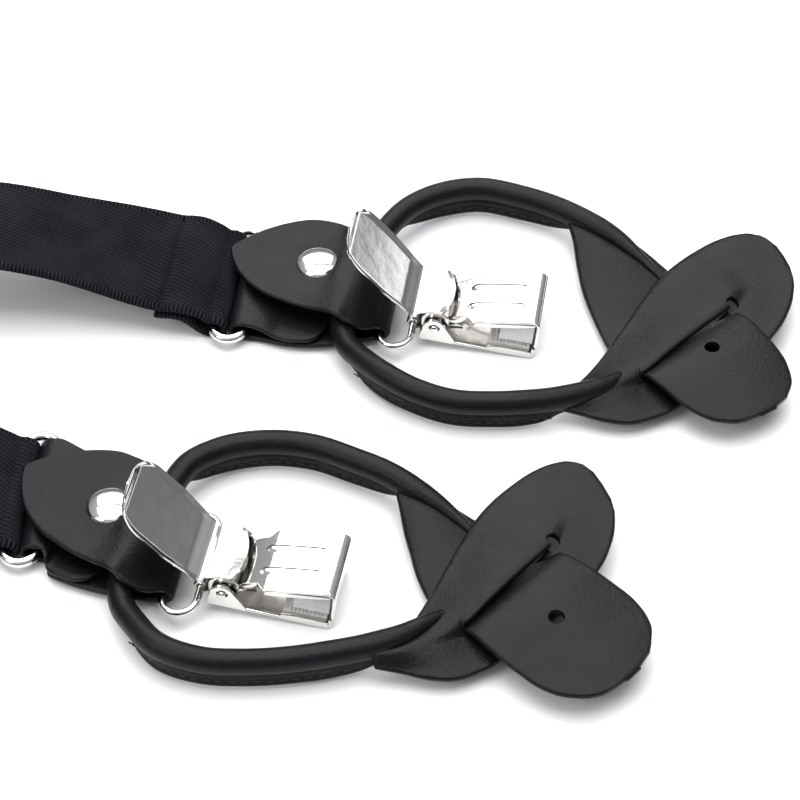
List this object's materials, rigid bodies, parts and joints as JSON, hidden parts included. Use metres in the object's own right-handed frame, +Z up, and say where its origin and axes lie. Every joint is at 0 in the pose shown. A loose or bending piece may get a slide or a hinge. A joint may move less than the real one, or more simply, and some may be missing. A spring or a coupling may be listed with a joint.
{
  "type": "suspenders",
  "caption": "Black elastic Y-back suspenders laid out flat, each strap end with a leather tab, a rolled button loop with keyholed ears and a sprung metal trouser clip.",
  "frame": {"origin": "centre of the back patch's underside, which lies on the table", "axes": "+X from the back patch towards the two front ends, +Y towards the left strap, +Z up from the table"},
  "size_m": [0.7692, 0.1701, 0.0354],
  "materials": {
    "webbing": "ribbed elastic weave, matte",
    "leather": "smooth pebbled grain, soft sheen",
    "nickel": "bright nickel plate with light wear",
    "spring_steel": "plain drawn wire",
    "grip": "translucent soft grip liner"
  },
  "bodies": {
    "straps": {"left_strap": "webbing", "left_adjuster_tail": "webbing", "left_loop_ring": "nickel", "left_upper_strap": "webbing", "right_strap": "webbing", "right_adjuster_tail": "webbing", "right_loop_ring": "nickel", "right_upper_strap": "webbing", "patch_bottom": "leather", "patch_top": "leather", "back_strap": "webbing"},
    "left_ring": {"left_upper_ring": "nickel"},
    "left_tab": {"left_leather_tab": "leather", "left_rivet_cap": "nickel", "left_rivet_back": "nickel", "left_button_loop": "leather"},
    "left_small_ring": {"left_lower_ring": "nickel"},
    "left_clip": {"left_clip_base": "nickel", "left_clip_pin": "nickel", "left_clip_spring": "spring_steel", "left_base_pad": "grip"},
    "left_lever": {"left_clip_lever": "nickel"},
    "left_jaw": {"left_clip_jaw": "nickel", "left_jaw_pad": "grip"},
    "right_ring": {"right_upper_ring": "nickel"},
    "right_tab": {"right_leather_tab": "leather", "right_rivet_cap": "nickel", "right_rivet_back": "nickel", "right_button_loop": "leather"},
    "right_small_ring": {"right_lower_ring": "nickel"},
    "right_clip": {"right_clip_base": "nickel", "right_clip_pin": "nickel", "right_clip_spring": "spring_steel", "right_base_pad": "grip"},
    "right_lever": {"right_clip_lever": "nickel"},
    "right_jaw": {"right_clip_jaw": "nickel", "right_jaw_pad": "grip"},
    "back_ring": {"back_upper_ring": "nickel"},
    "back_tab": {"back_leather_tab": "leather", "back_rivet_cap": "nickel", "back_rivet_back": "nickel", "back_button_loop": "leather"},
    "back_small_ring": {"back_lower_ring": "nickel"},
    "back_clip": {"back_clip_base": "nickel", "back_clip_pin": "nickel", "back_clip_spring": "spring_steel", "back_base_pad": "grip"},
    "back_lever": {"back_clip_lever": "nickel"},
    "back_jaw": {"back_clip_jaw": "nickel", "back_jaw_pad": "grip"},
    "left_adjuster": {"left_slider": "nickel"},
    "right_adjuster": {"right_slider": "nickel"}
  },
  "joints": [
    {"name": "left_upper_ring_hinge", "type": "hinge", "parent": "straps", "child": "left_ring", "pos_m": [0.53926, 0.03796, 0.0033], "axis": [-0.1219, -0.9925, 0], "range_deg": [-30, 35]},
    {"name": "left_tab_hinge", "type": "hinge", "parent": "left_ring", "child": "left_tab", "pos_m": [0.5471, 0.037, 0.0033], "axis": [-0.1219, -0.9925, 0], "range_deg": [-20, 8]},
    {"name": "left_lower_ring_hinge", "type": "hinge", "parent": "left_tab", "child": "left_small_ring", "pos_m": [0.5813, 0.0292, 0.0044], "axis": [-0.1564, -0.9877, 0], "range_deg": [-25, 6]},
    {"name": "left_clip_hinge", "type": "hinge", "parent": "left_small_ring", "child": "left_clip", "pos_m": [0.5894, 0.02792, 0.0049], "axis": [-0.1564, -0.9877, 0], "range_deg": [-20, 5]},
    {"name": "left_lever_hinge", "type": "hinge", "parent": "left_clip", "child": "left_lever", "pos_m": [0.59506, 0.02702, 0.00706], "axis": [-0.1564, -0.9877, 0], "range_deg": [0, 14], "stiffness_Nm_per_rad": 0.08},
    {"name": "left_jaw_hinge", "type": "hinge", "parent": "left_clip", "child": "left_jaw", "pos_m": [0.59506, 0.02702, 0.00706], "axis": [-0.1564, -0.9877, 0], "range_deg": [0, 12.6], "deforming": ["left_clip_spring"]},
    {"name": "right_upper_ring_hinge", "type": "hinge", "parent": "straps", "child": "right_ring", "pos_m": [0.49272, -0.03432, 0.0033], "axis": [-0.061, -0.9981, 0], "range_deg": [-30, 15]},
    {"name": "right_tab_hinge", "type": "hinge", "parent": "right_ring", "child": "right_tab", "pos_m": [0.5006, -0.0348, 0.0033], "axis": [-0.061, -0.9981, 0], "range_deg": [-20, 8]},
    {"name": "right_lower_ring_hinge", "type": "hinge", "parent": "right_tab", "child": "right_small_ring", "pos_m": [0.5322, -0.0547, 0.0044], "axis": [-0.1908, -0.9816, 0], "range_deg": [-25, 6]},
    {"name": "right_clip_hinge", "type": "hinge", "parent": "right_small_ring", "child": "right_clip", "pos_m": [0.54025, -0.05627, 0.0049], "axis": [-0.1908, -0.9816, 0], "range_deg": [-20, 5]},
    {"name": "right_lever_hinge", "type": "hinge", "parent": "right_clip", "child": "right_lever", "pos_m": [0.54588, -0.05736, 0.00706], "axis": [-0.1908, -0.9816, 0], "range_deg": [0, 14], "stiffness_Nm_per_rad": 0.08},
    {"name": "right_jaw_hinge", "type": "hinge", "parent": "right_clip", "child": "right_jaw", "pos_m": [0.54588, -0.05736, 0.00706], "axis": [-0.1908, -0.9816, 0], "range_deg": [0, 12.6], "deforming": ["right_clip_spring"]},
    {"name": "back_upper_ring_hinge", "type": "hinge", "parent": "straps", "child": "back_ring", "pos_m": [0.05055, 0, 0.0057], "axis": [0, -1, 0], "range_deg": [0, 30]},
    {"name": "back_tab_hinge", "type": "hinge", "parent": "back_ring", "child": "back_tab", "pos_m": [0.05845, 0, 0.0057], "axis": [0, -1, 0], "range_deg": [0, 8]},
    {"name": "back_lower_ring_hinge", "type": "hinge", "parent": "back_tab", "child": "back_small_ring", "pos_m": [0.09335, -0.00357, 0.0068], "axis": [-0.0349, -0.9994, 0], "range_deg": [0, 6]},
    {"name": "back_clip_hinge", "type": "hinge", "parent": "back_small_ring", "child": "back_clip", "pos_m": [0.10154, -0.00386, 0.0073], "axis": [-0.0349, -0.9994, 0], "range_deg": [0, 5]},
    {"name": "back_lever_hinge", "type": "hinge", "parent": "back_clip", "child": "back_lever", "pos_m": [0.10727, -0.00406, 0.00946], "axis": [-0.0349, -0.9994, 0], "range_deg": [0, 14], "stiffness_Nm_per_rad": 0.08},
    {"name": "back_jaw_hinge", "type": "hinge", "parent": "back_clip", "child": "back_jaw", "pos_m": [0.10727, -0.00406, 0.00946], "axis": [-0.0349, -0.9994, 0], "range_deg": [0, 12.6], "deforming": ["back_clip_spring"]},
    {"name": "left_slider_slide", "type": "slide", "parent": "straps", "child": "left_adjuster", "axis": [0.9986, 0.0527, 0], "range_m": [-0.015, 0.015], "deforming": ["left_adjuster_tail"]},
    {"name": "right_slider_slide", "type": "slide", "parent": "straps", "child": "right_adjuster", "axis": [0.9995, -0.0325, 0], "range_m": [-0.015, 0.015], "deforming": ["right_adjuster_tail"]}
  ],
  "couplings": [
    {"joint": "left_jaw_hinge", "follows": "left_lever_hinge", "ratio": 0.9},
    {"joint": "right_jaw_hinge", "follows": "right_lever_hinge", "ratio": 0.9},
    {"joint": "back_jaw_hinge", "follows": "back_lever_hinge", "ratio": 0.9}
  ]
}
